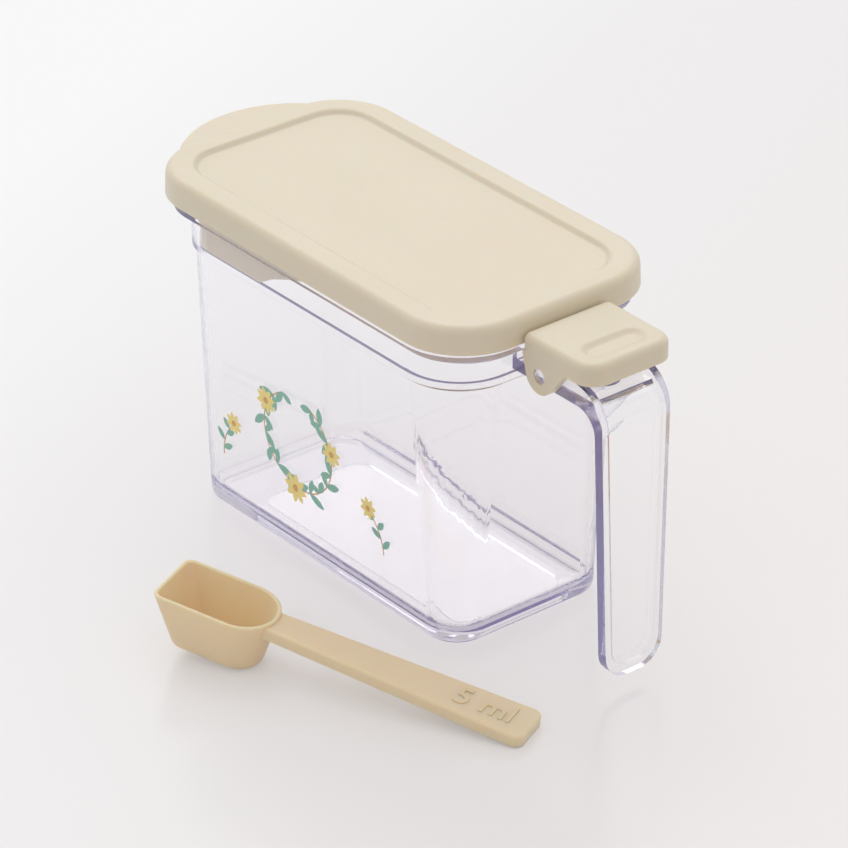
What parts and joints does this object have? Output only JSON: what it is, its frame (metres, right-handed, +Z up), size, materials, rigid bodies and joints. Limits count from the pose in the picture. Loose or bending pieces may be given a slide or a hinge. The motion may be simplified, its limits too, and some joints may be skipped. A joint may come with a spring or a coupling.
{
  "type": "seasoning container",
  "caption": "Clear handled box for salt or sugar with a lever-raised cream lid, a levelling frame in the mouth and a small measuring spoon.",
  "frame": {"origin": "centre of the container's underside, on the plane it stands on", "axes": "+X along the length of the box towards the handle, +Y across it, +Z up; the near long wall of the picture faces -Y"},
  "size_m": [0.1702, 0.1207, 0.0965],
  "materials": {
    "clear_styrene": "clear moulded plastic, glossy, with a faint lavender tint",
    "cream_lid": "satin-gloss moulded polypropylene",
    "cream_lever": "satin-gloss moulded polypropylene",
    "cream_frame": "satin moulded polypropylene",
    "cream_spoon": "satin-gloss moulded polypropylene"
  },
  "bodies": {
    "container": {"container_body": "clear_styrene", "levelling_frame": "cream_frame"},
    "lid": {"lid": "cream_lid", "thumb_lever": "cream_lever"},
    "spoon": {"measuring_spoon": "cream_spoon"}
  },
  "joints": [
    {"name": "lid_hinge", "type": "hinge", "parent": "container", "child": "lid", "pos_m": [0.0715, 0, 0.0834], "axis": [0, 1, 0], "range_deg": [0, 14]},
    {"name": "spoon_lift", "type": "slide", "parent": "container", "child": "spoon", "axis": [0, 0, 1], "range_m": [0, 0.12]}
  ]
}
